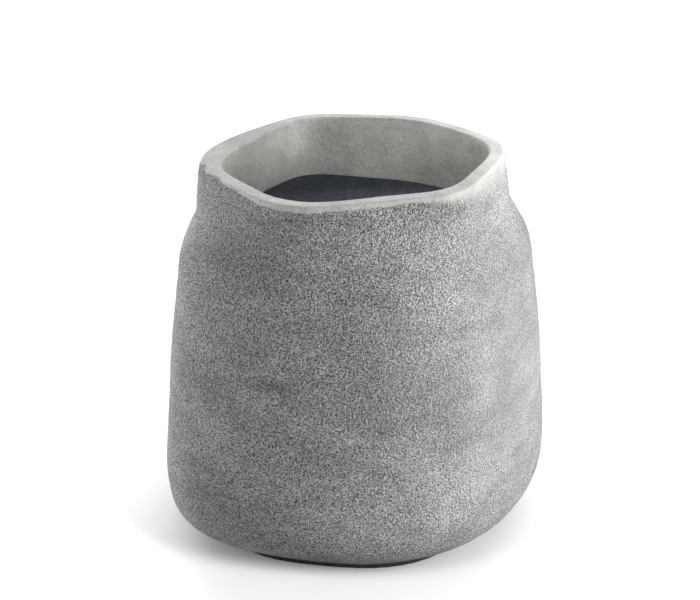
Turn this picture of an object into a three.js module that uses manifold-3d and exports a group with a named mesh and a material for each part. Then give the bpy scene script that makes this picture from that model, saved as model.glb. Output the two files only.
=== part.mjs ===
// Outdoor planter with a soft, hand-formed concrete body. A straight neck leads down to a lift-out
// floor that rests on four steel angles, and a drain runs through the base between four rubber feet.
// Millimetres, +Z up. The origin is on the ground, under the middle of the body's outline.

import * as THREE from 'three';
import { mergeVertices } from 'three/addons/utils/BufferGeometryUtils.js';
import Module from 'manifold-3d';

const wasm = await Module();
wasm.setup();

// ---- Driving dimensions ----

const HEIGHT = 775;               // ground to lip
const FOOT_HEIGHT = 12;           // ground to the underside of the concrete
const LIP_OUTER_ROUND = 5;        // rounding of the lip's outer edge
const LIP_INNER_ROUND = 4;
const LIP_WALL = 30;              // wall at the lip, where it isn't thickened
const BODY_WALL = 50;             // wall of the belly
const PLANTING_DEPTH = 118;       // lip to the top of the felt
const NECK_BOTTOM = 560;          // the neck's inner wall is straight down to here
const CAVITY_SHOULDER = 470;      // below here the inside follows the outside
const WELL_FLOOR = 70;            // top of the concrete floor
const FLOOR_COVE = 60;            // inside radius between the concrete floor and the wall

const FELT_THICKNESS = 4;
const FELT_CLEARANCE = 1.5;       // felt edge to the wall
const FLOOR_THICKNESS = 10;
const FLOOR_CLEARANCE = 5;        // lift-out floor edge to the wall
const FINGER_SLOT = { length: 100, width: 36, offset: 120 };
const FLOOR_DRAIN = { radius: 7, pitch: 62, reach: 190 };

const DRAIN_PIPE = { outer: 25, inner: 21, flangeRadius: 42, flangeThickness: 4 };
const STRAINER = { radius: 38, height: 24, wall: 3, spigotLength: 20, slots: 10, slotWidth: 6 };
const FOOT = { inset: 3, width: 48, facet: 6 };
const FOOT_ARCS = [[33, 145], [153, 205], [213, 325], [333, 385]];  // back, left, front and right

const BRACKET = { count: 4, startAngle: 5, width: 60, leg: 60, shelf: 50, steel: 5 };
const SOCKET = { radius: 12, length: 50, footRadius: 18, footThickness: 6, boreDepth: 38 };
const SEAT_DEPTH = 6;             // how deep each bracket's flat seat is let into the wall
const BOLT = { radius: 6, shank: 42, headAcross: 19, headThickness: 8 };
const WASHER = { radius: 12, thickness: 2.5 };
const BOLT_DROP = 34;             // top of the bracket down to its bolt

const GAP = 0.3;                  // between pieces that touch
const SIDES = 60;                 // facets round the body

// The body's mean outer radius at each height, from the base up to the lip.
const PROFILE = [
  [262, FOOT_HEIGHT], [289, 32], [328, 62], [363, 100], [373, 165], [366, 280], [353, 430],
  [338, 540], [327, 600], [307, 640], [286, 675], [279, 715], [268, HEIGHT],
];

// Soft corners: direction in degrees from +X, reach beyond the mean radius, and angular half-width.
const MOUTH_CORNERS = [
  [15, 31, 23], [60, 19, 24], [112, 21, 17], [192, 36, 30], [246, 47, 23], [310, 17, 17],
];
const BODY_CORNERS = [[21, 33, 33], [110, 6, 34], [220, 60, 27], [297, 27, 33]];
const THICK_LIP = [[165, 25, 30]];         // where the lip is thickened inwards
const LEANING_WALL = [[66, 43, 41]];       // where the neck's inner wall leans inwards on its way down
const BODY_CORNER_RADIUS = 400;            // body radius at which the body corners have their full reach
const MOUTH_START = 350;                   // the mouth's own outline takes over from this height up
const MOUTH_SHARPNESS = 2.7;

// ---- The body's surface ----

const degrees = THREE.MathUtils.degToRad;

// A point in plan at that radius, in a direction given in degrees.
function polar(radius, direction) {
  return new THREE.Vector2(radius * Math.cos(degrees(direction)), radius * Math.sin(degrees(direction)));
}

// How far the soft corners reach in a direction given in degrees.
function cornerReach(corners, direction) {
  let reach = 0;
  for (const [centre, height, halfWidth] of corners) {
    const away = THREE.MathUtils.euclideanModulo(direction - centre + 180, 360) - 180;
    reach += height * Math.exp(-((away / halfWidth) ** 2));
  }
  return reach;
}

// The outer radius in a direction, where the mean radius is `mean` at height z.
function outerRadius(direction, mean, z) {
  const mouth = THREE.MathUtils.smoothstep(z, MOUTH_START, HEIGHT) ** MOUTH_SHARPNESS;
  const bodyReach = cornerReach(BODY_CORNERS, direction) * (mean / BODY_CORNER_RADIUS);
  return mean + mouth * cornerReach(MOUTH_CORNERS, direction) + (1 - mouth) * bodyReach;
}

const profileCurve = new THREE.SplineCurve(PROFILE.map(([radius, z]) => new THREE.Vector2(radius, z)));
const profilePoints = profileCurve.getPoints(2 * (PROFILE.length - 1));
const fineProfile = profileCurve.getPoints(20 * (PROFILE.length - 1));

// The mean radius at height z, on the same curve.
function meanRadius(z) {
  const next = Math.max(1, fineProfile.findIndex((point) => point.y >= z));
  const [low, high] = [fineProfile[next - 1], fineProfile[next]];
  return THREE.MathUtils.mapLinear(z, low.y, high.y, low.x, high.x);
}

// The neck's inner wall: parallel to the lip's outline, leaning inwards as far down as the planting depth.
function neckRadius(direction, z) {
  const lip = outerRadius(direction, PROFILE.at(-1)[0], HEIGHT);
  const wall = LIP_WALL + cornerReach(THICK_LIP, direction);
  const depth = Math.min(1, (HEIGHT - z) / PLANTING_DEPTH);
  return lip - wall - cornerReach(LEANING_WALL, direction) * depth;
}

// The inside below the neck: parallel to the outside, coved into the concrete floor.
function cavityRadius(direction, z) {
  const parallel = outerRadius(direction, meanRadius(z), z) - BODY_WALL;
  const upCove = Math.min(1, (z - WELL_FLOOR) / FLOOR_COVE);
  const coved = parallel - FLOOR_COVE * (1 - Math.sqrt(1 - (1 - upCove) ** 2));
  const shoulder = THREE.MathUtils.smoothstep(z, CAVITY_SHOULDER, NECK_BOTTOM);
  return THREE.MathUtils.lerp(coved, neckRadius(direction, z), shoulder);
}

// Points of a round in a section, from one angle to another.
function arcPoints(radius, z, round, from, to, steps) {
  const points = [];
  for (let i = 0; i <= steps; i++) {
    const angle = degrees(THREE.MathUtils.lerp(from, to, i / steps));
    points.push([radius + round * Math.cos(angle), z + round * Math.sin(angle)]);
  }
  return points;
}

function evenSteps(from, to, steps) {
  return Array.from({ length: steps + 1 }, (_, i) => THREE.MathUtils.lerp(from, to, i / steps));
}

// The shell's whole section in one direction, as [radius, z] pairs that go up the outside, over the lip,
// down the inside and out through the drain hole.
function shellSection(direction) {
  const lipRadius = outerRadius(direction, PROFILE.at(-1)[0], HEIGHT);
  const lipTop = HEIGHT - LIP_OUTER_ROUND;
  const outside = profilePoints
    .filter((point) => point.y < lipTop - 1)
    .map((point) => [outerRadius(direction, point.x, point.y), point.y]);
  const outerRound = arcPoints(lipRadius - LIP_OUTER_ROUND, lipTop, LIP_OUTER_ROUND, 0, 90, 4);
  const lipInside = neckRadius(direction, HEIGHT) + LIP_INNER_ROUND;
  const innerRound = arcPoints(lipInside, HEIGHT - LIP_INNER_ROUND, LIP_INNER_ROUND, 90, 180, 2);
  const neck = [HEIGHT - PLANTING_DEPTH, NECK_BOTTOM].map((z) => [neckRadius(direction, z), z]);
  const cavity = [
    ...evenSteps(NECK_BOTTOM, CAVITY_SHOULDER, 4).slice(1),
    ...evenSteps(CAVITY_SHOULDER, WELL_FLOOR + FLOOR_COVE, 5).slice(1),
    ...evenSteps(WELL_FLOOR + FLOOR_COVE, WELL_FLOOR, 4).slice(1),
  ].map((z) => [cavityRadius(direction, z), z]);
  const flangeSeat = DRAIN_PIPE.flangeRadius + GAP;
  const flangeFloor = WELL_FLOOR - DRAIN_PIPE.flangeThickness - GAP;
  const hole = DRAIN_PIPE.outer + GAP;
  const drain = [
    [flangeSeat, WELL_FLOOR], [flangeSeat, flangeFloor], [hole, flangeFloor], [hole, FOOT_HEIGHT],
  ];
  return [...outside, ...outerRound, ...innerRound, ...neck, ...cavity, ...drain];
}

// A closed ring-shaped geometry made of one section per direction.
function ringGeometry(sectionIn, sides) {
  const sections = Array.from({ length: sides }, (_, i) => sectionIn((360 * i) / sides));
  const rows = sections[0].length;
  const positions = sections.flatMap((section, i) => (
    section.flatMap(([radius, z]) => [...polar(radius, (360 * i) / sides).toArray(), z])));
  const index = [];
  for (let i = 0; i < sides; i++) {
    for (let j = 0; j < rows; j++) {
      const here = i * rows;
      const next = ((i + 1) % sides) * rows;
      const up = (j + 1) % rows;
      index.push(here + j, next + j, next + up, here + j, next + up, here + up);
    }
  }
  const geometry = new THREE.BufferGeometry();
  geometry.setAttribute('position', new THREE.Float32BufferAttribute(positions, 3));
  geometry.setIndex(index);
  return geometry;
}

// ---- Joining and cutting ----

// A closed geometry as a solid, with its shared vertices merged and its empty triangles dropped.
function solidOf(geometry) {
  const bare = geometry.clone();
  bare.deleteAttribute('normal');
  bare.deleteAttribute('uv');
  const merged = mergeVertices(bare, 1e-3);
  const corners = merged.index.array;
  const kept = [];
  for (let i = 0; i < corners.length; i += 3) {
    const [a, b, c] = [corners[i], corners[i + 1], corners[i + 2]];
    if (a !== b && b !== c && c !== a) kept.push(a, b, c);
  }
  return new wasm.Manifold(new wasm.Mesh({
    numProp: 3,
    vertProperties: new Float32Array(merged.attributes.position.array),
    triVerts: new Uint32Array(kept),
  }));
}

function geometryOf(solid) {
  const { vertProperties, triVerts } = solid.getMesh();
  const geometry = new THREE.BufferGeometry();
  geometry.setAttribute('position', new THREE.BufferAttribute(vertProperties, 3));
  geometry.setIndex(new THREE.BufferAttribute(triVerts, 1));
  geometry.computeVertexNormals();
  return geometry;
}

// ---- Basic shapes ----

// A turned piece about +Z, from a profile of [radius, z] pairs.
function turned(profile, sides = 24) {
  const points = profile.map(([radius, z]) => new THREE.Vector2(radius, z));
  return new THREE.LatheGeometry(points, sides).rotateX(Math.PI / 2);
}

function extruded(shape, depth, curveSegments = 12) {
  return new THREE.ExtrudeGeometry(shape, { depth, bevelEnabled: false, curveSegments });
}

// A hole's outline with round ends, centred at (x, y) and long in Y.
function slotPath(x, y, length, width) {
  const path = new THREE.Path();
  const straight = (length - width) / 2;
  path.absarc(x, y + straight, width / 2, 0, Math.PI);
  path.absarc(x, y - straight, width / 2, Math.PI, 2 * Math.PI);
  return path;
}

// A closed outline parallel to the neck's inner wall at height z, that far inside it.
function neckOutline(z, clearance) {
  return new THREE.Shape(Array.from({ length: SIDES }, (_, i) => {
    const direction = (360 * i) / SIDES;
    return polar(neckRadius(direction, z) - clearance, direction);
  }));
}

// ---- Places ----

const feltTop = HEIGHT - PLANTING_DEPTH;
const feltBottom = feltTop - FELT_THICKNESS;
const floorTop = feltBottom - GAP;
const floorBottom = floorTop - FLOOR_THICKNESS;
const bracketTop = floorBottom - GAP;
const boltHeight = bracketTop - BOLT_DROP;

// The place on the neck's wall in that direction, with the wall's own outward direction there.
function wallPlace(direction) {
  const step = 2;
  const at = (angle) => polar(neckRadius(angle, bracketTop), angle);
  const along = at(direction + step).sub(at(direction - step));
  return { point: at(direction), outward: Math.atan2(-along.x, along.y) };
}

const bracketPlaces = Array.from({ length: BRACKET.count }, (_, i) => (
  wallPlace(BRACKET.startAngle + (360 * i) / BRACKET.count)));

// Puts geometry made with +X outward from the wall, about the bolt's axis, where the wall is.
function intoPlace(geometry, { point, outward }) {
  return geometry.rotateZ(outward).translate(point.x, point.y, boltHeight);
}

// ---- The sub-parts ----

// A threaded socket along +X with its mouth at the seat, or the hole it is cast into when grown.
function socketGeometry(grow = 0) {
  const { radius, length, footRadius, footThickness, boreDepth } = SOCKET;
  const outline = [
    [0, length + grow], [footRadius + grow, length + grow],
    [footRadius + grow, length - footThickness - grow],
    [radius + grow, length - footThickness - grow], [radius + grow, grow ? -SEAT_DEPTH : 0],
  ];
  const bore = grow
    ? [[0, -SEAT_DEPTH]]
    : [[BOLT.radius + GAP, 0], [BOLT.radius + GAP, boreDepth], [0, boreDepth]];
  return turned([...outline, ...bore].reverse(), 20).rotateY(Math.PI / 2).translate(SEAT_DEPTH, 0, 0);
}

function seatGeometry() {
  const margin = 6;
  const inwardReach = 40;
  const height = BRACKET.leg + 2 * margin;
  const depth = inwardReach + SEAT_DEPTH;
  const middle = BOLT_DROP - BRACKET.leg / 2;
  return new THREE.BoxGeometry(depth, BRACKET.width + 2 * margin, height)
    .translate(SEAT_DEPTH - depth / 2, 0, middle);
}

function concreteShell() {
  let solid = solidOf(ringGeometry(shellSection, SIDES));
  for (const place of bracketPlaces) {
    solid = solid.subtract(solidOf(intoPlace(seatGeometry(), place)));
    solid = solid.subtract(solidOf(intoPlace(socketGeometry(GAP), place)));
  }
  return geometryOf(solid);
}

function bracketGeometry() {
  const { width, leg, shelf, steel } = BRACKET;
  const shape = new THREE.Shape();
  const [back, top] = [SEAT_DEPTH - GAP, BOLT_DROP];
  shape.moveTo(back, top - leg);
  shape.lineTo(back, top);
  shape.lineTo(back - shelf, top);
  shape.lineTo(back - shelf, top - steel);
  shape.absarc(back - 2 * steel, top - 2 * steel, steel, Math.PI / 2, 0, true);
  shape.lineTo(back - steel, top - leg);
  const angle = extruded(shape, width, 4).translate(0, 0, -width / 2).rotateX(Math.PI / 2);
  const hole = turned([[0, -1], [BOLT.radius + 2 * GAP, -1], [BOLT.radius + 2 * GAP, 1], [0, 1]], 20)
    .scale(1, 1, steel).rotateY(Math.PI / 2).translate(back - steel / 2, 0, 0);
  return geometryOf(solidOf(angle).subtract(solidOf(hole)));
}

const washerBack = SEAT_DEPTH - BRACKET.steel - 2 * GAP;
const headBack = washerBack - WASHER.thickness - GAP;

function washerGeometry() {
  const bore = BOLT.radius + 2 * GAP;
  const section = [[bore, 0], [WASHER.radius, 0], [WASHER.radius, WASHER.thickness],
    [bore, WASHER.thickness], [bore, 0]];
  return turned(section).rotateY(Math.PI / 2).translate(washerBack - WASHER.thickness, 0, 0);
}

function boltGeometry() {
  const { radius, shank, headAcross, headThickness } = BOLT;
  const headRadius = headAcross / Math.sqrt(3);
  const head = new THREE.CylinderGeometry(headRadius, headRadius, headThickness, 6)
    .rotateZ(Math.PI / 2).translate(-headThickness / 2, 0, 0);
  const stem = turned([[0, -1], [radius, -1], [radius, shank - 1], [radius - 1, shank], [0, shank]], 20)
    .rotateY(Math.PI / 2);
  return geometryOf(solidOf(head).add(solidOf(stem))).translate(headBack, 0, 0);
}

function fingerSlots() {
  const { length, width, offset } = FINGER_SLOT;
  return [-offset, offset].map((x) => slotPath(x, 0, length, width));
}

// Drain holes on a square pitch, left out near the finger slots.
function drainHoles() {
  const { radius, pitch, reach } = FLOOR_DRAIN;
  const holes = [];
  for (let x = -3 * pitch; x <= 3 * pitch; x += pitch) {
    for (let y = -3 * pitch; y <= 3 * pitch; y += pitch) {
      const nearSlot = Math.abs(Math.abs(x) - FINGER_SLOT.offset) < pitch / 2
        && Math.abs(y) < FINGER_SLOT.length / 2 + 2 * radius;
      if (Math.hypot(x, y) > reach || nearSlot) continue;
      holes.push(new THREE.Path().absarc(x, y, radius, 0, 2 * Math.PI));
    }
  }
  return holes;
}

function raisedFloor() {
  const shape = neckOutline(floorTop, FLOOR_CLEARANCE);
  shape.holes.push(...fingerSlots(), ...drainHoles());
  return extruded(shape, FLOOR_THICKNESS, 6).translate(0, 0, floorBottom);
}

function filterFelt() {
  const shape = neckOutline(feltTop, FELT_CLEARANCE);
  shape.holes.push(...fingerSlots());
  return extruded(shape, FELT_THICKNESS, 6).translate(0, 0, feltBottom);
}

function drainSleeve() {
  const { outer, inner, flangeRadius, flangeThickness } = DRAIN_PIPE;
  const [bottom, top] = [FOOT_HEIGHT + 1, WELL_FLOOR];
  return turned([
    [inner, bottom], [outer, bottom], [outer, top - flangeThickness],
    [flangeRadius, top - flangeThickness], [flangeRadius, top], [inner, top], [inner, bottom],
  ], 32);
}

// A domed cap with a spigot that drops into the drain sleeve. Slots run through the dome's foot.
function drainStrainer() {
  const { radius, height, wall, spigotLength, slots, slotWidth } = STRAINER;
  const seat = WELL_FLOOR + GAP;
  const spigot = DRAIN_PIPE.inner - GAP;
  const rimTop = seat + wall;
  const dome = (reach, rise, base) => [4, 3, 2, 1, 0].map((i) => {
    const angle = degrees((90 * i) / 4);
    return [reach * Math.cos(angle), base + rise * Math.sin(angle)];
  });
  const cap = turned([
    ...dome(radius - wall, height - 2 * wall, rimTop),
    [spigot - wall, rimTop], [spigot - wall, seat - spigotLength], [spigot, seat - spigotLength],
    [spigot, seat], [radius, seat], ...dome(radius, height - wall, rimTop).reverse(),
  ], 30);
  let solid = solidOf(cap);
  for (let i = 0; i < slots; i++) {
    const cutter = new THREE.BoxGeometry(radius, slotWidth, height / 2)
      .translate(radius, 0, rimTop + GAP + height / 4)
      .rotateZ((2 * Math.PI * i) / slots);
    solid = solid.subtract(solidOf(cutter));
  }
  return geometryOf(solid);
}

// One rubber foot: a strip just inside the base's outline, with a gap to the next for the drain water.
function footGeometry([from, to]) {
  const directions = evenSteps(from, to, Math.round((to - from) / FOOT.facet));
  const edge = (inset) => directions.map((direction) => {
    const radius = outerRadius(direction, PROFILE[0][0], FOOT_HEIGHT) - inset;
    return polar(radius, direction);
  });
  const shape = new THREE.Shape([...edge(FOOT.inset), ...edge(FOOT.inset + FOOT.width).reverse()]);
  return extruded(shape, FOOT_HEIGHT - GAP);
}

// ---- Materials ----

const concrete = () => new THREE.MeshStandardMaterial({ color: 0x9b9c99, roughness: 0.95, metalness: 0 });
const felt = () => new THREE.MeshStandardMaterial({ color: 0x383c40, roughness: 1, metalness: 0 });
const floorPlastic = () => new THREE.MeshStandardMaterial({ color: 0x2c2f31, roughness: 0.6, metalness: 0 });
const drainPlastic = () => new THREE.MeshStandardMaterial({ color: 0x5d6163, roughness: 0.45, metalness: 0 });
const rubber = () => new THREE.MeshStandardMaterial({ color: 0x26272a, roughness: 0.85, metalness: 0 });
const galvanised = () => new THREE.MeshStandardMaterial({ color: 0xa9adb0, roughness: 0.5, metalness: 0.9 });
const stainless = () => new THREE.MeshStandardMaterial({ color: 0xc4c6c8, roughness: 0.3, metalness: 1 });

// ---- Assembly ----

function named(name, geometry, material) {
  const mesh = new THREE.Mesh(geometry, material);
  mesh.name = name;
  return mesh;
}

// A bracket with its fixings: one turned group at each place on the neck's wall.
function bracketSet(place, number) {
  const group = new THREE.Group();
  group.position.set(place.point.x, place.point.y, boltHeight);
  group.rotation.z = place.outward;
  group.add(
    named(`lifting_socket_${number}`, socketGeometry(), stainless()),
    named(`support_bracket_${number}`, bracketGeometry(), galvanised()),
    named(`bracket_washer_${number}`, washerGeometry(), stainless()),
    named(`bracket_bolt_${number}`, boltGeometry(), stainless()),
  );
  return group;
}

const planter = new THREE.Group();
const shell = named('concrete_shell', concreteShell(), concrete());
planter.add(shell);
planter.add(named('filter_felt', filterFelt(), felt()));
planter.add(named('raised_floor', raisedFloor(), floorPlastic()));
bracketPlaces.forEach((place, i) => planter.add(bracketSet(place, i + 1)));
planter.add(named('drain_sleeve', drainSleeve(), drainPlastic()));
planter.add(named('drain_strainer', drainStrainer(), drainPlastic()));
FOOT_ARCS.forEach((arc, i) => planter.add(named(`foot_pad_${i + 1}`, footGeometry(arc), rubber())));

// The origin goes under the middle of the body's outline.
const middle = new THREE.Box3().setFromObject(shell).getCenter(new THREE.Vector3());
planter.position.set(-middle.x, -middle.y, 0);

export default planter;
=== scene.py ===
"""The planter's looks: a fine hand-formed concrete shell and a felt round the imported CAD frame.

Metres, +Z up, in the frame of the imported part.
"""
import math

import bmesh
import bpy
import numpy as np
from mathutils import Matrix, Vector


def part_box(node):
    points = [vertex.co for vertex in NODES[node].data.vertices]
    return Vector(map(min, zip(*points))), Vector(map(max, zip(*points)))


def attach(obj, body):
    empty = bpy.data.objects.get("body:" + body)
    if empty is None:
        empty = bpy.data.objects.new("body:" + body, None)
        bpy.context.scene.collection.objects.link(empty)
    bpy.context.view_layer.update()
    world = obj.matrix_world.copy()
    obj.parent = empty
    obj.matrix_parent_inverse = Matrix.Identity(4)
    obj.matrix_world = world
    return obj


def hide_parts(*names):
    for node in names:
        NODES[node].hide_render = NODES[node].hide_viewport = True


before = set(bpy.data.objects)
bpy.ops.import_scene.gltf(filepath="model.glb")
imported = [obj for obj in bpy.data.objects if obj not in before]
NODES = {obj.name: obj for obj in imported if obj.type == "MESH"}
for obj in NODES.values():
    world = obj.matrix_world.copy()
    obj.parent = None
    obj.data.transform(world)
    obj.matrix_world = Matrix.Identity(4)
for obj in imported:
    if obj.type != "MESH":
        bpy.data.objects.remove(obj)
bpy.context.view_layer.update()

MM = 0.001

# ---- The body's shape: the same formula as the CAD shell's, in millimetres ----

HEIGHT = 775.0
FOOT_HEIGHT = 12.0
LIP_OUTER_ROUND = 5.0
LIP_INNER_ROUND = 4.0
LIP_WALL = 30.0
BODY_WALL = 50.0
PLANTING_DEPTH = 118.0
NECK_BOTTOM = 560.0
CAVITY_SHOULDER = 470.0
WELL_FLOOR = 70.0
FLOOR_COVE = 60.0
DRAIN_RADIUS = 25.3
DRAIN_SEAT = (42.3, 4.3)        # radius and depth of the seat for the drain's flange
SMOOTH_BAND = 9.0               # how far the lip's smooth finish comes down the outer face
BAND_FADE = 20.0                # over how much below the band the coarse relief sets in

# The outer face's mean radius and its height, up from the foot.
PROFILE = np.array([
    (262, FOOT_HEIGHT), (289, 32), (328, 62), (363, 100), (373, 165), (366, 280), (353, 430),
    (338, 540), (327, 600), (307, 640), (286, 675), (279, 715), (268, HEIGHT),
], float)

# Soft corners: direction in degrees, height in millimetres, half width in degrees.
MOUTH_CORNERS = [
    (15, 31, 23), (60, 19, 24), (112, 21, 17), (192, 36, 30), (246, 47, 23), (310, 17, 17),
]
BODY_CORNERS = [(21, 33, 33), (110, 6, 34), (220, 60, 27), (297, 27, 33)]
THICK_LIP = [(165, 25, 30)]
LEANING_WALL = [(66, 43, 41)]

BODY_CORNER_RADIUS = 400.0      # the mean radius at which the body's corners have their full height
MOUTH_START = 350.0             # from here up the body's corners give way to the mouth's
MOUTH_SHARPNESS = 2.7


def smoothstep(x, low, high):
    t = np.clip((x - low) / (high - low), 0, 1)
    return t * t * (3 - 2 * t)


def corner_reach(corners, direction):
    """How far the soft corners reach in a direction given in degrees."""
    reach = 0.0
    for centre, height, half_width in corners:
        away = (direction - centre + 180) % 360 - 180
        reach = reach + height * np.exp(-((away / half_width) ** 2))
    return reach


def outer_radius(direction, mean, z):
    mouth = smoothstep(z, MOUTH_START, HEIGHT) ** MOUTH_SHARPNESS
    body = corner_reach(BODY_CORNERS, direction) * (mean / BODY_CORNER_RADIUS)
    return mean + mouth * corner_reach(MOUTH_CORNERS, direction) + (1 - mouth) * body


def spline(points, steps):
    """A Catmull-Rom curve through the points, with that many steps between neighbours."""
    padded = np.vstack([points[:1], points, points[-1:]])
    out = []
    for i in range(len(points) - 1):
        p0, p1, p2, p3 = padded[i:i + 4]
        v0, v1 = (p2 - p0) / 2, (p3 - p1) / 2
        for t in np.arange(steps) / steps:
            cubic = (2 * p1 - 2 * p2 + v0 + v1) * t ** 3 + (-3 * p1 + 3 * p2 - 2 * v0 - v1) * t ** 2
            out.append(cubic + v0 * t + p1)
    out.append(points[-1])
    return np.array(out)


FINE_PROFILE = spline(PROFILE, 40)


def mean_radius(z):
    return np.interp(z, FINE_PROFILE[:, 1], FINE_PROFILE[:, 0])


def neck_radius(direction, z):
    lip = outer_radius(direction, PROFILE[-1, 0], HEIGHT)
    wall = LIP_WALL + corner_reach(THICK_LIP, direction)
    depth = np.minimum(1, (HEIGHT - z) / PLANTING_DEPTH)
    return lip - wall - corner_reach(LEANING_WALL, direction) * depth


def cavity_radius(direction, z):
    parallel = outer_radius(direction, mean_radius(z), z) - BODY_WALL
    up_cove = np.clip((z - WELL_FLOOR) / FLOOR_COVE, 0, 1)
    coved = parallel - FLOOR_COVE * (1 - np.sqrt(1 - (1 - up_cove) ** 2))
    shoulder = smoothstep(z, CAVITY_SHOULDER, NECK_BOTTOM)
    return coved + (neck_radius(direction, z) - coved) * shoulder


# ---- Smooth noise, the same on every run ----

def lattice(ix, iy, iz, seed):
    """A value from -1 to 1 for each whole-number point."""
    mixed = (ix * 374761393 + iy * 668265263 + iz * 2147483647 + seed * 974634777) & 0xFFFFFFFF
    mixed = ((mixed ^ (mixed >> 13)) * 1274126177) & 0xFFFFFFFF
    return ((mixed ^ (mixed >> 16)) & 0xFFFF) / 32767.5 - 1


def noise(points, size, seed=0):
    """Smooth value noise whose lumps are about that size, at each of the points."""
    scaled = points / size
    whole = np.floor(scaled).astype(np.int64)
    part = scaled - whole
    part = part * part * (3 - 2 * part)
    total = 0.0
    for dx in (0, 1):
        for dy in (0, 1):
            for dz in (0, 1):
                weight = np.prod(np.where((dx, dy, dz), part, 1 - part), axis=-1)
                corner = whole + (dx, dy, dz)
                total = total + weight * lattice(corner[..., 0], corner[..., 1], corner[..., 2], seed)
    return total


def layered_noise(points, size, octaves, seed=0):
    return sum(noise(points, size / 2 ** k, seed + k) / 2 ** k for k in range(octaves))


# ---- Mesh helpers ----

def mesh_object(name, vertices, faces):
    """An object from corners in metres, and faces that all have the same number of corners."""
    mesh = bpy.data.meshes.new(name)
    mesh.from_pydata([], [], [])
    mesh.vertices.add(len(vertices))
    mesh.vertices.foreach_set("co", np.asarray(vertices, np.float32).ravel())
    faces = np.asarray(faces, np.int32)
    mesh.loops.add(faces.size)
    mesh.polygons.add(len(faces))
    mesh.polygons.foreach_set("loop_start", np.arange(len(faces), dtype=np.int32) * faces.shape[1])
    mesh.loops.foreach_set("vertex_index", faces.ravel())
    mesh.update(calc_edges=True)
    mesh.validate()
    obj = bpy.data.objects.new(name, mesh)
    bpy.context.scene.collection.objects.link(obj)
    return obj


def grid_faces(rows, columns, closed_rows):
    """Quads of a grid whose columns close on themselves, and whose rows may too."""
    j, i = np.meshgrid(np.arange(rows if closed_rows else rows - 1), np.arange(columns), indexing="ij")
    up, along = (j + 1) % rows, (i + 1) % columns
    quads = [j * columns + i, j * columns + along, up * columns + along, up * columns + i]
    return np.stack([q.ravel() for q in quads], axis=1)


def grid_normals(grid):
    """Unit normals of a [row, column, xyz] grid whose rows and columns close on themselves."""
    along = np.roll(grid, -1, 1) - np.roll(grid, 1, 1)
    up = np.roll(grid, -1, 0) - np.roll(grid, 1, 0)
    normal = np.cross(along, up)
    return normal / np.maximum(np.linalg.norm(normal, axis=-1, keepdims=True), 1e-12)


def tidy_normals(mesh):
    work = bmesh.new()
    work.from_mesh(mesh)
    bmesh.ops.recalc_face_normals(work, faces=work.faces)
    work.to_mesh(mesh)
    work.free()


def apply_modifiers(obj):
    depsgraph = bpy.context.evaluated_depsgraph_get()
    mesh = bpy.data.meshes.new_from_object(obj.evaluated_get(depsgraph))
    obj.modifiers.clear()
    obj.data = mesh


def cut(obj, cutter):
    """Takes the cutter's shape out of the object for good."""
    modifier = obj.modifiers.new("cut", "BOOLEAN")
    modifier.operation = "DIFFERENCE"
    modifier.solver = "MANIFOLD"
    modifier.object = cutter
    apply_modifiers(obj)
    bpy.data.objects.remove(cutter)


# ---- The concrete shell ----

SIDES = 384
OUTSIDE_ROWS = 142
LIP_ROWS = 5
NECK_ROWS = 32
CAVITY_ROWS = 24
COVE_ROWS = 9
BASE_ROWS = 12
OUTER_FACE_DEPTH = (14.0, 6.0)  # from here to here under the formula's surface the outer face sets in
WELL_MOUTH = (60.0, 100.0)      # radius and height inside which the drain's seat stays exact


def even_rows(line, count):
    """Points spaced evenly along a line of points."""
    travelled = np.concatenate([[0], np.cumsum(np.linalg.norm(np.diff(line, axis=0), axis=1))])
    stops = np.linspace(0, travelled[-1], count)
    return np.column_stack([np.interp(stops, travelled, line[:, k]) for k in (0, 1)])


def arc_rows(radius, z, rounding, start, end, steps):
    angles = np.radians(np.linspace(start, end, steps + 1))
    return [(radius + rounding * np.cos(a), np.full_like(radius, z + rounding * np.sin(a)))
            for a in angles]


def level_rows(radius_at, heights, direction):
    return [(radius_at(direction, z), np.full_like(direction, z)) for z in heights]


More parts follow.
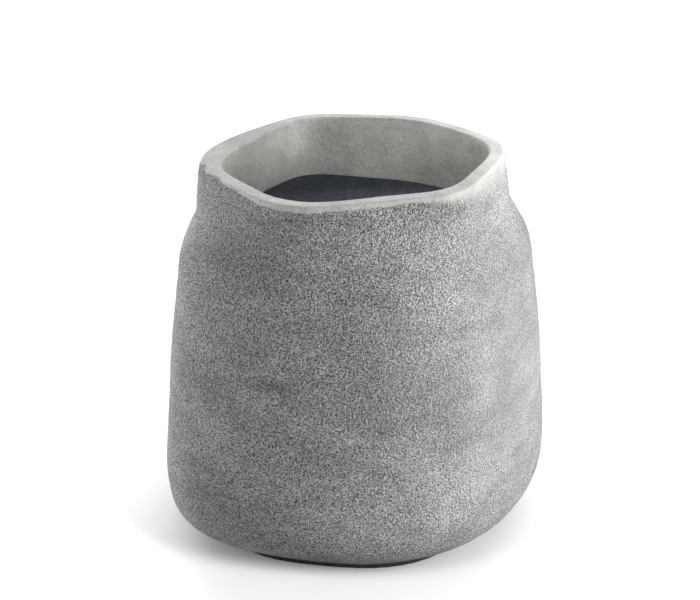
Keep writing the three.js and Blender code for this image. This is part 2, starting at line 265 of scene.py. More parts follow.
def shell_rows(direction):
    """The shell's section as rows of (radius, z) in all directions, up the outside and down inside."""
    lip = outer_radius(direction, PROFILE[-1, 0], HEIGHT)
    lip_start = HEIGHT - LIP_OUTER_ROUND
    outside = even_rows(FINE_PROFILE[FINE_PROFILE[:, 1] < lip_start - 1], OUTSIDE_ROWS)
    base = outer_radius(direction, outside[0, 0], FOOT_HEIGHT)
    rows = [(DRAIN_RADIUS + (base - DRAIN_RADIUS) * t, np.full_like(base, FOOT_HEIGHT))
            for t in np.linspace(0, 0.985, BASE_ROWS)]
    rows += [(outer_radius(direction, r, z), np.full_like(direction, z)) for r, z in outside]
    rows += arc_rows(lip - LIP_OUTER_ROUND, lip_start, LIP_OUTER_ROUND, 0, 90, LIP_ROWS)
    inside_lip = neck_radius(direction, HEIGHT) + LIP_INNER_ROUND
    flat = [(lip - LIP_OUTER_ROUND) * (1 - t) + inside_lip * t for t in (0.33, 0.67)]
    rows += [(radius, np.full_like(radius, HEIGHT)) for radius in flat]
    rows += arc_rows(inside_lip, HEIGHT - LIP_INNER_ROUND, LIP_INNER_ROUND, 90, 180, LIP_ROWS - 1)
    # A few millimetres stay free between one run of rows and the next.
    neck_heights = np.linspace(HEIGHT - 10, NECK_BOTTOM + 6, NECK_ROWS)
    cavity_heights = np.linspace(NECK_BOTTOM, WELL_FLOOR + FLOOR_COVE, CAVITY_ROWS)
    cove_heights = WELL_FLOOR + FLOOR_COVE * np.linspace(0.9, 0, COVE_ROWS) ** 2
    rows += level_rows(neck_radius, neck_heights, direction)
    rows += level_rows(cavity_radius, cavity_heights, direction)
    rows += level_rows(cavity_radius, cove_heights, direction)
    seat_radius, seat_depth = DRAIN_SEAT
    floor_edge = cavity_radius(direction, WELL_FLOOR)
    rows += [(seat_radius + (floor_edge - seat_radius) * t, np.full_like(base, WELL_FLOOR))
             for t in (0.66, 0.33, 0)]
    for radius, z in ((seat_radius, WELL_FLOOR - seat_depth), (DRAIN_RADIUS, WELL_FLOOR - seat_depth)):
        rows.append((np.full_like(base, radius), np.full_like(base, z)))
    return rows


def shell_shift():
    """From the formula's own axis to the frame's, in metres."""
    low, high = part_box("concrete_shell")
    direction = np.linspace(0, 360, 61)[:-1]
    reach = np.max([outer_radius(direction, r, z) for r, z in spline(PROFILE, 2)], axis=0)
    x, y = reach * np.cos(np.radians(direction)), reach * np.sin(np.radians(direction))
    middle = np.array([x.max() + x.min(), y.max() + y.min()]) / 2 * MM
    return np.array([(low.x + high.x) / 2 - middle[0], (low.y + high.y) / 2 - middle[1], 0.0])


SHIFT = shell_shift()


def solid_object(name, corners, faces):
    """A closed object from corners in millimetres from the formula's own axis, its faces set outwards."""
    mesh = bpy.data.meshes.new(name)
    mesh.from_pydata((np.asarray(corners) * MM + SHIFT).tolist(), [], faces)
    tidy_normals(mesh)
    obj = bpy.data.objects.new(name, mesh)
    bpy.context.scene.collection.objects.link(obj)
    return obj


def outside_mask(points):
    """1 on the outer face, 0 on everything inside it. Points in millimetres."""
    direction = np.degrees(np.arctan2(points[..., 1], points[..., 0]))
    radius = np.hypot(points[..., 0], points[..., 1])
    z = points[..., 2]
    surface = outer_radius(direction, mean_radius(z), z)
    start, end = OUTER_FACE_DEPTH
    return smoothstep(radius, surface - start, surface - end)


def roughness_mask(points):
    """How coarse the surface is: 1 low on the outer face, fading out up to the lip's smooth band."""
    below_lip = HEIGHT - points[..., 2]
    return outside_mask(points) * smoothstep(below_lip, SMOOTH_BAND, SMOOTH_BAND + BAND_FADE)


def relief(points, rough):
    """How far the surface stands out from the formula's, in millimetres."""
    hand = 2.2 * noise(points, 150, 1) + 1.1 * noise(points, 62, 2)
    lumps = 0.55 * noise(points, 27, 3) + 0.35 * layered_noise(points, 13, 2, 4)
    trowelled = 0.5 * noise(points, 70, 6) + 0.16 * noise(points, 22, 7)
    return rough * (0.75 * hand + lumps) + (1 - rough) * trowelled


# ---- Seats and holes for the brackets' fixings, where the CAD shell has them ----

SEAT = (46.0, 72.0, 72.0)       # depth, width and height of the space cut for a bracket
SEAT_DEPTH = 6.0                # how deep its flat back lies in the wall
SEAT_RISE = 4.0                 # its middle above the bolt's axis
BRACKET_DIRECTIONS = (5, 95, 185, 275)
BRACKET_TOP_RISE = 34.0         # top of the bracket above the bolt's axis
SOCKET_HOLE = [(12.3, -6), (12.3, 43.7), (18.3, 43.7), (18.3, 50.3)]     # radius, depth from the seat


def wall_place(direction, z, step=2):
    """A point on the neck's wall in millimetres, and the wall's own outward angle there.

    The angle comes from two points a step of a few degrees to either side.
    """
    def at(angle):
        turned = math.radians(angle)
        return np.array([math.cos(turned), math.sin(turned)]) * neck_radius(angle, z)

    along = at(direction + step) - at(direction - step)
    return at(direction), math.atan2(-along[0], along[1])


def seat_cutter():
    depth, width, height = SEAT
    corners = [(x, y, z) for x in (SEAT_DEPTH - depth, SEAT_DEPTH) for y in (-width / 2, width / 2)
               for z in (SEAT_RISE - height / 2, SEAT_RISE + height / 2)]
    faces = [(0, 1, 3, 2), (4, 6, 7, 5), (0, 4, 5, 1), (2, 3, 7, 6), (0, 2, 6, 4), (1, 5, 7, 3)]
    return np.array(corners), faces


def hole_cutter(sides=24):
    """A turned solid about +X from the socket hole's profile."""
    angles = np.arange(sides) * 2 * math.pi / sides
    rows = [[(SEAT_DEPTH + depth, radius * math.cos(a), radius * math.sin(a)) for a in angles]
            for radius, depth in SOCKET_HOLE]
    corners = np.array(rows).reshape(-1, 3)
    faces = [tuple(q) for q in grid_faces(len(rows), sides, False)]
    faces += [tuple(range(sides))[::-1], tuple(range(len(corners) - sides, len(corners)))]
    return corners, faces


def cut_bracket_places(obj):
    bolt_low, bolt_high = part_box("bracket_bolt_1")
    bolt_height = (bolt_low.z + bolt_high.z) / 2 / MM
    for direction in BRACKET_DIRECTIONS:
        (x, y), outward = wall_place(direction, bolt_height + BRACKET_TOP_RISE)
        turn = np.array([[math.cos(outward), -math.sin(outward), 0],
                         [math.sin(outward), math.cos(outward), 0], [0, 0, 1]])
        for corners, faces in (seat_cutter(), hole_cutter()):
            cut(obj, solid_object("cutter", corners @ turn.T + (x, y, bolt_height), faces))


def make_shell():
    direction = np.arange(SIDES) * 360 / SIDES
    rows = shell_rows(direction)
    radius = np.array([r for r, _ in rows])
    z = np.array([h for _, h in rows])
    angle = np.radians(direction)
    grid = np.stack([radius * np.cos(angle), radius * np.sin(angle), z], axis=-1)
    rough = roughness_mask(grid)
    well_radius, well_height = WELL_MOUTH
    hidden = (z <= FOOT_HEIGHT) | ((radius < well_radius) & (z < well_height))
    push = np.where(hidden, 0, relief(grid, rough))
    grid = grid + grid_normals(grid) * push[..., None]
    shell = mesh_object("concrete_body", grid.reshape(-1, 3) * MM + SHIFT,
                        grid_faces(len(rows), SIDES, True))
    shell.data.polygons.foreach_set("use_smooth", [True] * len(shell.data.polygons))
    return shell


def vertex_points(obj):
    """The object's vertices in millimetres from the formula's own axis."""
    flat = np.empty(len(obj.data.vertices) * 3, np.float32)
    obj.data.vertices.foreach_get("co", flat)
    return (flat.reshape(-1, 3) - SHIFT) / MM


shell = make_shell()
cut_bracket_places(shell)
outer_face = shell.data.attributes.new("outer_face", "FLOAT", "POINT")
outer_face.data.foreach_set("value", outside_mask(vertex_points(shell)).astype(np.float32))
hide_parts("concrete_shell")
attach(shell, "planter")

# ---- The filter felt ----

FELT_CLEARANCE = 1.5
FINGER_SLOT = (100.0, 36.0)     # length and width
SLOT_OFFSET = 120.0
FELT_RINGS = 70
FELT_SIDES = 240
FELT_DROP = 0.4                 # how far its top lies on average below the CAD felt's, to fit its waves
EDGE_ROUND = 0.8                # how far the top falls at the cut edge
TRIM = (0.2, 0.5)               # how far inside the CAD felt's outline it is cut, and how unevenly
OVERCUT = 5.0                   # how far the slots' cutters reach past the felt


def felt_top_relief(x, y, edge):
    """Gentle waves, and a soft rounding of the top towards the cut edge. Millimetres."""
    flat = np.stack([x, y, np.zeros_like(x)], axis=-1)
    waves = 0.7 * noise(flat, 90, 31) + 0.45 * noise(flat, 34, 32) + 0.25 * noise(flat, 12, 33)
    return waves * 0.8 - EDGE_ROUND * smoothstep(edge, 0.975, 1.0) - FELT_DROP


def slot_cutter(x, bottom, top, steps=16):
    """A round-ended slot's solid along Y, with its middle at x."""
    length, width = FINGER_SLOT
    angles = np.linspace(0, math.pi, steps)
    straight = (length - width) / 2
    outline = [(x + width / 2 * math.cos(a), straight + width / 2 * math.sin(a)) for a in angles]
    outline += [(x - width / 2 * math.cos(a), -straight - width / 2 * math.sin(a)) for a in angles]
    count = len(outline)
    corners = [(px, py, z) for z in (bottom, top) for px, py in outline]
    faces = [tuple(range(count))[::-1], tuple(range(count, 2 * count))]
    faces += [tuple(q) for q in grid_faces(2, count, False)]
    return solid_object("cutter", corners, faces)


def make_felt():
    low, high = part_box("filter_felt")
    top, bottom = high.z / MM, low.z / MM
    direction = np.arange(FELT_SIDES) * 360 / FELT_SIDES
    across, along = np.cos(np.radians(direction)), np.sin(np.radians(direction))
    trim, unevenness = TRIM
    rim = neck_radius(direction, top) - FELT_CLEARANCE - trim
    rim = rim - unevenness * np.abs(noise(np.stack([rim * across, rim * along, rim * 0], -1), 9, 34))
    share = np.linspace(0.012, 1, FELT_RINGS)
    radius = share[:, None] * rim
    x, y = radius * across, radius * along
    z = top + felt_top_relief(x, y, np.broadcast_to(share[:, None], x.shape))
    upper = np.stack([x, y, z], axis=-1)
    lower = np.stack([x, y, np.full_like(x, bottom)], axis=-1)[::-1]
    grid = np.concatenate([upper, lower])
    faces = [tuple(q) for q in grid_faces(len(grid), FELT_SIDES, False)[:, ::-1]]
    last = len(grid) * FELT_SIDES - 1
    faces += [tuple(range(FELT_SIDES)), tuple(range(last, last - FELT_SIDES, -1))]
    felt = solid_object("felt_mat", grid.reshape(-1, 3), faces)
    for side in (-1, 1):
        cut(felt, slot_cutter(side * SLOT_OFFSET, bottom - OVERCUT, top + OVERCUT))
    felt.data.polygons.foreach_set("use_smooth", [True] * len(felt.data.polygons))
    return felt


felt = make_felt()
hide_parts("filter_felt")
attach(felt, "felt")

# ---- Camera ----

CAMERA_PLACE = (-0.0175, -2.7945, 1.6928)
CAMERA_PITCH = 23.68            # degrees down from level
LENS = 77.4
SENSOR_WIDTH = 36.0


def make_camera():
    data = bpy.data.cameras.new("camera")
    data.sensor_width = SENSOR_WIDTH
    data.lens = LENS
    camera = bpy.data.objects.new("camera", data)
    camera.location = CAMERA_PLACE
    camera.rotation_euler = (math.radians(90 - CAMERA_PITCH), 0, 0)
    bpy.context.scene.collection.objects.link(camera)
    bpy.context.scene.camera = camera


make_camera()


# ---- What the materials are made of ----

NOISE_LOW, NOISE_HIGH = 0.3, 0.7        # nearly all of a noise texture's values lie between these


def new_material(name, color, roughness, metallic=0.0):
    """A material whose constant values stand on the shader itself."""
    material = bpy.data.materials.new(name)
    material.use_nodes = True
    material.diffuse_color = (*color, 1)
    shader = material.node_tree.nodes["Principled BSDF"]
    shader.inputs["Base Color"].default_value = (*color, 1)
    shader.inputs["Roughness"].default_value = roughness
    shader.inputs["Metallic"].default_value = metallic
    return material, material.node_tree, shader


def node(tree, kind, inputs=None, **settings):
    """A new node with its settings, and its inputs set to values or linked to other nodes' outputs."""
    made = tree.nodes.new(kind)
    for key, value in settings.items():
        setattr(made, key, value)
    for key, value in (inputs or {}).items():
        socket = made.inputs[key]
        if isinstance(value, bpy.types.NodeSocket):
            tree.links.new(value, socket)
        else:
            socket.default_value = value
    return made


def own_places(tree, stretch=(1, 1, 1)):
    """The piece's own places in metres, stretched where the pattern runs in streaks."""
    coordinates = node(tree, "ShaderNodeTexCoord").outputs["Object"]
    if stretch == (1, 1, 1):
        return coordinates
    return vector_maths(tree, "MULTIPLY", coordinates, stretch)


def raw_noise(tree, where, scale, detail, roughness=0.5, distortion=0.0):
    """Soft noise from 0 to 1, with that many lumps to the metre."""
    return node(tree, "ShaderNodeTexNoise", {
        "Vector": where, "Scale": scale, "Detail": detail,
        "Roughness": roughness, "Distortion": distortion,
    }).outputs["Fac"]


def spread(tree, value, low, high, to, curve="LINEAR"):
    """The value's part between low and high, spread over the range `to`."""
    return node(tree, "ShaderNodeMapRange", {
        "Value": value, "From Min": low, "From Max": high, "To Min": to[0], "To Max": to[1],
    }, interpolation_type=curve).outputs["Result"]


def clouds(tree, where, size, detail, to, low=NOISE_LOW, high=NOISE_HIGH):
    """Soft noise whose lumps are about `size` metres, spread over the range `to`."""
    return spread(tree, raw_noise(tree, where, 1 / size, detail), low, high, to)


def swing(tree, noise_value, reach):
    """A noise's values, spread from -reach to +reach."""
    return spread(tree, noise_value, NOISE_LOW, NOISE_HIGH, (-reach, reach))


def maths(tree, operation, a, b=0.0):
    return node(tree, "ShaderNodeMath", {0: a, 1: b}, operation=operation).outputs[0]


def vector_maths(tree, operation, a, b):
    return node(tree, "ShaderNodeVectorMath", {0: a, 1: b}, operation=operation).outputs[0]


def vector_length(tree, vector):
    return node(tree, "ShaderNodeVectorMath", {0: vector}, operation="LENGTH").outputs["Value"]


def product(tree, *values):
    result = values[0]
    for value in values[1:]:
        result = maths(tree, "MULTIPLY", result, value)
    return result


def total(tree, *values):
    result = values[0]
    for value in values[1:]:
        result = maths(tree, "ADD", result, value)
    return result


def shaded(tree, color, factor):
    """A colour made lighter or darker by a factor."""
    return node(tree, "ShaderNodeVectorMath", {0: color, "Scale": factor}, operation="SCALE").outputs[0]


def blend(tree, factor, a, b):
    """Colour a where the factor is 0, colour b where it is 1."""
    mixed = node(tree, "ShaderNodeMix", data_type="RGBA")
    for index, value in ((0, factor), (6, a), (7, b)):
        if isinstance(value, bpy.types.NodeSocket):
            tree.links.new(value, mixed.inputs[index])
        else:
            mixed.inputs[index].default_value = value
    return mixed.outputs[2]


def bump(tree, shader, height):
    """Bumps from a height in millimetres."""
    bumps = node(tree, "ShaderNodeBump", {"Strength": 1.0, "Distance": MM, "Height": height})
    tree.links.new(bumps.outputs["Normal"], shader.inputs["Normal"])


def patch(tree, where, centre, size, factor):
    """A factor for the middle of a soft patch that fades to 1 at its edge."""
    away = vector_maths(tree, "SUBTRACT", where, centre)
    shrunk = vector_maths(tree, "DIVIDE", away, size)
    return spread(tree, vector_length(tree, shrunk), 0, 1, (factor, 1), "SMOOTHSTEP")


def patches(tree, where, spots):
    """The product of several patches, each given as (centre, size, factor)."""
    return product(tree, *(patch(tree, where, *spot) for spot in spots))


def hairlines(tree, where, size, width, factor):
    """Thin wandering lines, here and there, where a cloud crosses its middle value."""
    line = raw_noise(tree, where, 1 / size, 1)
    off_line = maths(tree, "ABSOLUTE", maths(tree, "SUBTRACT", line, 0.5))
    drawn = spread(tree, off_line, 0, width, (1, 0))
    here = clouds(tree, where, size * 1.3, 2, (0, 1), 0.54, 0.6)
    return spread(tree, product(tree, drawn, here), 0, 1, (1, factor))


# ---- The concrete's material ----

COARSE_CONCRETE = (0.342, 0.343, 0.338)
SMOOTH_CONCRETE = (0.380, 0.374, 0.356)
GRAIN_ROUGHNESS = 0.6
MEAN_SPECK = 0.9                # the specks' mean brightness, which stays where they are flattened on the lit side
PINHOLES = (0.26, 0.36)         # the lowest part of the pits' noise

# Each patch has its centre and its reach in metres, and how much lighter or darker its centre is.
# On the outside, painted light where the lamps fall full on, painted shade low down, under the lip and in
# the hollow left of the neck, and a few plain darker patches.
PAINTED_LIGHT_SHADE_AND_DARK_PATCHES = [
    ((0.13, -0.29, 0.64), (0.20, 0.20, 0.16), 1.22),        # painted light on the right shoulder
    ((0.09, -0.36, 0.21), (0.28, 0.24, 0.14), 1.36),        # painted light low on the right
    ((0.29, -0.08, 0.70), (0.13, 0.24, 0.12), 1.35),        # painted light right of the neck
    ((-0.06, -0.30, 0.735), (0.18, 0.12, 0.06), 0.80),      # painted shade under the lip's front
    ((-0.24, -0.34, 0.17), (0.19, 0.22, 0.15), 0.72),       # painted shade low on the left
    ((-0.03, -0.32, 0.04), (0.40, 0.26, 0.13), 0.36),       # painted shade at the foot of the front
    ((-0.15, -0.34, 0.32), (0.17, 0.16, 0.07), 0.80),       # darker patches on the left
    ((-0.16, -0.34, 0.44), (0.09, 0.10, 0.025), 0.70),
    # painted shade in the hollow left of the neck
    ((-0.22, -0.25, 0.65), (0.12, 0.14, 0.13), 0.80),
    ((-0.10, -0.33, 0.50), (0.22, 0.20, 0.18), 0.88),
]
PAINTED_LIGHT_AND_SHADE_INSIDE = [
    ((-0.24, 0.06, 0.70), (0.13, 0.20, 0.14), 0.66),        # painted shade on the left of the neck's inside
    ((-0.12, 0.23, 0.70), (0.05, 0.08, 0.20), 1.22),        # painted light in a streak down the inside
    ((0.14, 0.19, 0.68), (0.34, 0.24, 0.20), 1.65),         # painted light on the right of the neck's inside
    ((0.27, 0.00, 0.775), (0.10, 0.28, 0.012), 1.55),       # painted highlight on the right of the lip
    ((-0.22, 0.16, 0.775), (0.12, 0.12, 0.03), 0.80),       # painted shade on the back left of the lip
]
FLATTENED_GRAIN_ON_LIT_SIDE = ((0.34, -0.30, 0.42), (0.42, 0.50, 0.60), 0.45)     # where the grain and specks are flattened: painted light, for the right side lit full on


def coarseness(tree, where):
    """1 on the coarse outside, 0 on the lip's smooth band and everything inside.

    The band ends in a crisp, slightly wandering line at the front. It runs out towards the left, and
    blends away softly towards the right.
    """
    outer = node(tree, "ShaderNodeAttribute", attribute_name="outer_face").outputs["Fac"]
    x, _, z = node(tree, "ShaderNodeSeparateXYZ", {"Vector": where}).outputs
    below_lip = maths(tree, "SUBTRACT", HEIGHT * MM, z)
    wander = clouds(tree, where, 0.04, 5, (-0.0025, 0.0025))
    band = product(tree, spread(tree, x, 0.03, 0.22, (SMOOTH_BAND * MM, 0.001)),
                   spread(tree, x, -0.27, -0.17, (0.0, 1.0)))
    past_band = maths(tree, "SUBTRACT", total(tree, below_lip, wander), band)
    fade = spread(tree, x, 0.10, 0.27, (0.003, 0.06))
    share = maths(tree, "DIVIDE", past_band, fade)
    return product(tree, outer, spread(tree, share, 0, 1, (0, 1), "SMOOTHSTEP"))


def coarse_finish(tree, where, pits):
    """Colour and height of the sandblasted outside: sharp grains and pits under soft blotches, with
    patches of painted light and painted shade.
    """
    grain = raw_noise(tree, where, 400, 1, GRAIN_ROUGHNESS)
    lumps = raw_noise(tree, where, 80, 0, GRAIN_ROUGHNESS)
    # Painted light: on the side lit full on, the specks' contrast is flattened, and the grain's relief
    # with it.
    lit_side_flattening = patch(tree, where, *FLATTENED_GRAIN_ON_LIT_SIDE)
    height = product(tree, lit_side_flattening, total(
        tree,
        swing(tree, grain, 1.4),
        swing(tree, pits, 2.2),
        swing(tree, lumps, 0.5),
    ))
    deep_specks = product(tree, spread(tree, grain, 0.40, 0.58, (0.26, 1.36)),
                          spread(tree, pits, 0.38, 0.58, (0.84, 1.12)))
    specks = total(tree, product(tree, total(tree, deep_specks, -MEAN_SPECK), lit_side_flattening), MEAN_SPECK)
    blotches = clouds(tree, where, 0.10, 5, (0.86, 1.14))
    strata = clouds(tree, own_places(tree, (1, 1, 3)), 0.09, 3, (0.88, 1.12))
    # The patches here are painted light and painted shade, with a few darker patches on the left.
    factor = product(tree, blotches, strata, specks, patches(tree, where, PAINTED_LIGHT_SHADE_AND_DARK_PATCHES))
    return shaded(tree, COARSE_CONCRETE, factor), height


def smooth_finish(tree, where, pits):
    """Colour and height of the cast lip and inside: fine sand, pinholes, a few hairlines, and patches of
    painted light and painted shade.
    """
    sand = raw_noise(tree, where, 210, 2, GRAIN_ROUGHNESS)
    height = total(
        tree,
        swing(tree, sand, 0.28),
        spread(tree, pits, *PINHOLES, (-0.3, 0.0)),
        clouds(tree, where, 0.03, 2, (-0.8, 0.8)),
    )
    cast = clouds(tree, where, 0.06, 6, (0.86, 1.14))
    dusting = spread(tree, sand, 0.36, 0.64, (0.88, 1.11))
    dots = spread(tree, pits, *PINHOLES, (0.80, 1.0))
    lines = hairlines(tree, where, 0.09, 0.006, 1.14)
    # The patches here are painted light and painted shade on the inside and the lip.
    factor = product(tree, cast, dusting, dots, lines, patches(tree, where, PAINTED_LIGHT_AND_SHADE_INSIDE))
    return shaded(tree, SMOOTH_CONCRETE, factor), height


def concrete_material():
    """Sandblasted and pitted outside, smooth and lighter on the lip and inside."""
    material, tree, shader = new_material("concrete", COARSE_CONCRETE, 0.92)
    where = own_places(tree)
    coarse = coarseness(tree, where)
    smooth = spread(tree, coarse, 0, 1, (1, 0))
    pits = raw_noise(tree, where, 190, 1, GRAIN_ROUGHNESS)
    coarse_color, coarse_height = coarse_finish(tree, where, pits)
    smooth_color, smooth_height = smooth_finish(tree, where, pits)
    coarse_part = product(tree, coarse_height, coarse)
    smooth_part = product(tree, smooth_height, smooth)
    bump(tree, shader, total(tree, coarse_part, smooth_part))
    tree.links.new(blend(tree, coarse, smooth_color, coarse_color), shader.inputs["Base Color"])
    tree.links.new(spread(tree, coarse, 0, 1, (0.62, 0.95)), shader.inputs["Roughness"])
    return material


# ---- The other materials ----

def felt_material():
    """Needle-punched felt of blue-grey and darker fibres, with painted shade along the left wall and
    painted light on the right.
    """
    color = (0.060, 0.072, 0.089)
    material, tree, shader = new_material("felt", color, 0.96)
    shader.inputs["Sheen Weight"].default_value = 0.04
    shader.inputs["Sheen Roughness"].default_value = 0.6
    shader.inputs["Specular IOR Level"].default_value = 0.2
    where = own_places(tree)
    fibres = raw_noise(tree, where, 520, 4, 0.7, 2.5)
    matting = clouds(tree, where, 0.012, 3, (0.68, 1.32))
    clouding = clouds(tree, where, 0.09, 3, (0.86, 1.14))
    strands = spread(tree, fibres, 0.35, 0.65, (0.72, 1.28))
    # Painted shade darkens the felt along the left wall; painted light brightens it on the right.
    painted_shade_left = patch(tree, where, (-0.16, -0.02, 0.66), (0.30, 0.40, 0.10), 0.56)
    painted_light_right = patch(tree, where, (0.16, 0.02, 0.66), (0.30, 0.40, 0.10), 1.75)
    factor = product(tree, matting, clouding, strands, painted_shade_left, painted_light_right)
    tree.links.new(shaded(tree, color, factor), shader.inputs["Base Color"])
    tufts = clouds(tree, where, 0.008, 2, (-0.3, 0.3))
    bump(tree, shader, total(tree, swing(tree, fibres, 0.35), tufts))
    return material


def plastic_material(name, color, roughness, grain_depth):
    """Moulded plastic: a fine spark-eroded grain, faint flow marks and handling scuffs."""
    material, tree, shader = new_material(name, color, roughness)
    where = own_places(tree)
    flow = clouds(tree, own_places(tree, (1, 4, 1)), 0.08, 3, (0.9, 1.1))
    flecks = clouds(tree, where, 0.0012, 2, (0.86, 1.14))
    tree.links.new(shaded(tree, color, product(tree, flow, flecks)), shader.inputs["Base Color"])
    scuffs = clouds(tree, own_places(tree, (5, 1, 1)), 0.02, 4,
                    (roughness - 0.1, roughness + 0.12), 0.35)
    tree.links.new(scuffs, shader.inputs["Roughness"])
    bump(tree, shader, clouds(tree, where, 0.0009, 2, (-grain_depth, grain_depth)))
    return material


def galvanised_material():
    """Hot-dip zinc: flakes of slightly different greys under a dull bloom."""
    color = (0.48, 0.50, 0.52)
    material, tree, shader = new_material("galvanised_steel", color, 0.45, 1.0)
    where = own_places(tree)
    flakes = node(tree, "ShaderNodeTexVoronoi", {"Vector": where, "Scale": 120})
    tone = node(tree, "ShaderNodeSeparateColor", {"Color": flakes.outputs["Color"]}).outputs["Red"]
    spangle = spread(tree, tone, 0, 1, (0.78, 1.15))
    bloom = clouds(tree, where, 0.03, 4, (0.88, 1.08))
    tree.links.new(shaded(tree, color, product(tree, spangle, bloom)), shader.inputs["Base Color"])
    tree.links.new(spread(tree, tone, 0, 1, (0.36, 0.58)), shader.inputs["Roughness"])
    bump(tree, shader, clouds(tree, where, 0.006, 3, (-0.05, 0.05)))
    return material


def stainless_material():
    """Turned and drawn stainless steel with fine tool lines."""
    color = (0.60, 0.60, 0.59)
    material, tree, shader = new_material("stainless_steel", color, 0.3, 1.0)
    lines = clouds(tree, own_places(tree, (1, 1, 14)), 0.006, 3, (0.0, 1.0))
    tone = spread(tree, lines, 0, 1, (0.9, 1.08))
    tree.links.new(shaded(tree, color, tone), shader.inputs["Base Color"])
    tree.links.new(spread(tree, lines, 0, 1, (0.22, 0.4)), shader.inputs["Roughness"])
    bump(tree, shader, spread(tree, lines, 0, 1, (-0.02, 0.02)))
    return material


def rubber_material():
    """Dark crumb rubber with pale dust in its pores."""
    color = (0.020, 0.020, 0.021)
    material, tree, shader = new_material("foot_rubber", color, 0.85)
    where = own_places(tree)
    crumbs = node(tree, "ShaderNodeTexVoronoi", {"Vector": where, "Scale": 420})
    tone = node(tree, "ShaderNodeSeparateColor", {"Color": crumbs.outputs["Color"]}).outputs["Red"]
    dust = clouds(tree, where, 0.02, 4, (0.0, 1.2), 0.45, 0.75)
    factor = total(tree, spread(tree, tone, 0, 1, (0.75, 1.3)), dust)
    tree.links.new(shaded(tree, color, factor), shader.inputs["Base Color"])
    bump(tree, shader, spread(tree, crumbs.outputs["Distance"], 0, 0.6, (0.15, -0.15)))
    return material


# ---- Light and floor ----

STUDIO_SIZE = 14.0
LIT_PAPER = (2.0, 4.5)      # between these distances from the middle the paper starts to glow by itself
WALL_SIDES = 96
WORLD_STRENGTH = 0.02


def backdrop_material():
    """Matt studio paper with the faintest unevenness, which glows by itself far from the planter."""
    color = (0.9, 0.9, 0.9)
    material, tree, shader = new_material("pale_backdrop", color, 1.0)
    shader.inputs["Specular IOR Level"].default_value = 0.0
    shader.inputs["Emission Color"].default_value = (1, 1, 1, 1)
    where = own_places(tree)
    tone = clouds(tree, where, 0.5, 2, (0.995, 1.005))
    tree.links.new(shaded(tree, color, tone), shader.inputs["Base Color"])
    near, far = LIT_PAPER
    glow = spread(tree, vector_length(tree, where), near, far, (0, 1), "SMOOTHSTEP")
    tree.links.new(glow, shader.inputs["Emission Strength"])
    return material


def make_floor(material):
    size = STUDIO_SIZE
    corners = [(-size, -size, 0), (size, -size, 0), (size, size, 0), (-size, size, 0)]
    floor = mesh_object("floor", corners, [(0, 1, 2, 3)])
    floor.data.materials.append(material)
    return floor


def make_backdrop(material):
    """A round wall far out that closes off the floor all round, and neither lights nor shades."""
    turn = np.linspace(0, 2 * math.pi, WALL_SIDES, endpoint=False)
    ring = np.column_stack([np.cos(turn), np.sin(turn)]) * (STUDIO_SIZE - 1)
    corners = [(x, y, z) for z in (0, STUDIO_SIZE) for x, y in ring]
    wall = mesh_object("backdrop", corners, grid_faces(2, WALL_SIDES, False))
    wall.data.materials.append(material)
    wall.visible_diffuse = wall.visible_glossy = wall.visible_shadow = False


def area_light(name, place, target, size, power, reach=None):
    """A soft rectangular lamp. The `reach` collection decides what it lights; None is everything."""
    data = bpy.data.lights.new(name, "AREA")
    data.shape = "RECTANGLE"
    data.size, data.size_y = size
    data.energy = power
    light = bpy.data.objects.new(name, data)
    light.location = place
    light.rotation_euler = (Vector(target) - Vector(place)).to_track_quat("-Z", "Y").to_euler()
    light.light_linking.receiver_collection = reach
    bpy.context.scene.collection.objects.link(light)


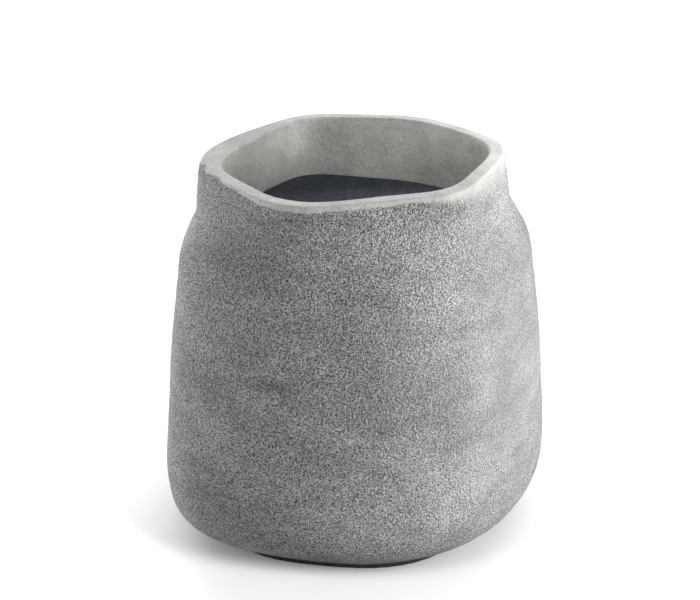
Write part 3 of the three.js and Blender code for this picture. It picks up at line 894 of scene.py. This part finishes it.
def make_studio(floor):
    """Lamps for the planter, and others for the floor alone, so that its shadow stays short and soft.

    One lamp far behind lights both.
    """
    world = bpy.data.worlds.new("studio")
    world.use_nodes = True
    background = world.node_tree.nodes["Background"]
    background.inputs["Color"].default_value = (1, 1, 1, 1)
    background.inputs["Strength"].default_value = WORLD_STRENGTH
    bpy.context.scene.world = world
    floor_only = bpy.data.collections.new("floor_only")
    floor_only.objects.link(floor)
    floor.light_linking.receiver_collection = floor_only
    all_but_floor = bpy.data.collections.new("all_but_floor")
    all_but_floor.objects.link(floor)
    all_but_floor.collection_objects[0].light_linking.link_state = "EXCLUDE"

    middle = (0, 0, 0.4)
    area_light("right", (2.2, 0, 1.0), middle, (1.2, 1.2), 52, all_but_floor)
    area_light("right_front", (1.7, -1.7, 1.2), middle, (1.2, 1.2), 32, all_but_floor)
    area_light("left", (-2.2, 0.6, 0.8), middle, (1.2, 1.2), 47, all_but_floor)
    area_light("left_back", (-1.6, 2.0, 0.7), middle, (0.9, 1.1), 25, all_but_floor)
    area_light("above_front", (0, -0.95, 2.4), (0, -0.95, 0), (2.6, 0.7), 16.5, all_but_floor)
    area_light("far_floor", (0, 5.5, 4.0), (0, 5.5, 0), (9, 5), 880)

    near_floor = (0, -0.2, 0)
    area_light("floor_front", (0, -2.6, 2.8), near_floor, (3.0, 1.0), 42, floor_only)
    area_light("floor_front_right", (1.9, -2.4, 1.9), near_floor, (1.0, 1.0), 105, floor_only)
    area_light("floor_front_left", (-1.9, -2.4, 1.9), near_floor, (1.0, 1.0), 36, floor_only)
    area_light("floor_above", (0, -0.3, 4.5), near_floor, (6.0, 6.0), 40, floor_only)
    bpy.context.scene.view_settings.view_transform = "Standard"
    bpy.context.scene.view_settings.look = "None"


def cover(obj, material):
    """Gives a mesh made here one material all over."""
    obj.data.materials.clear()
    obj.data.materials.append(material)


def dress(names, material):
    """Gives CAD nodes a material in place of their plain one."""
    for name in names:
        for slot in NODES[name].material_slots:
            slot.material = material


def numbered(name):
    """The names of a set of four nodes."""
    return [f"{name}_{number}" for number in range(1, 5)]


paper = backdrop_material()
make_studio(make_floor(paper))
make_backdrop(paper)
cover(shell, concrete_material())
cover(felt, felt_material())
dress(["raised_floor"], plastic_material("floor_plastic", (0.028, 0.030, 0.032), 0.6, 0.05))
dress(["drain_sleeve", "drain_strainer"],
      plastic_material("drain_plastic", (0.11, 0.12, 0.125), 0.45, 0.03))
dress(numbered("support_bracket"), galvanised_material())
dress(numbered("bracket_washer") + numbered("bracket_bolt") + numbered("lifting_socket"),
      stainless_material())
dress(numbered("foot_pad"), rubber_material())
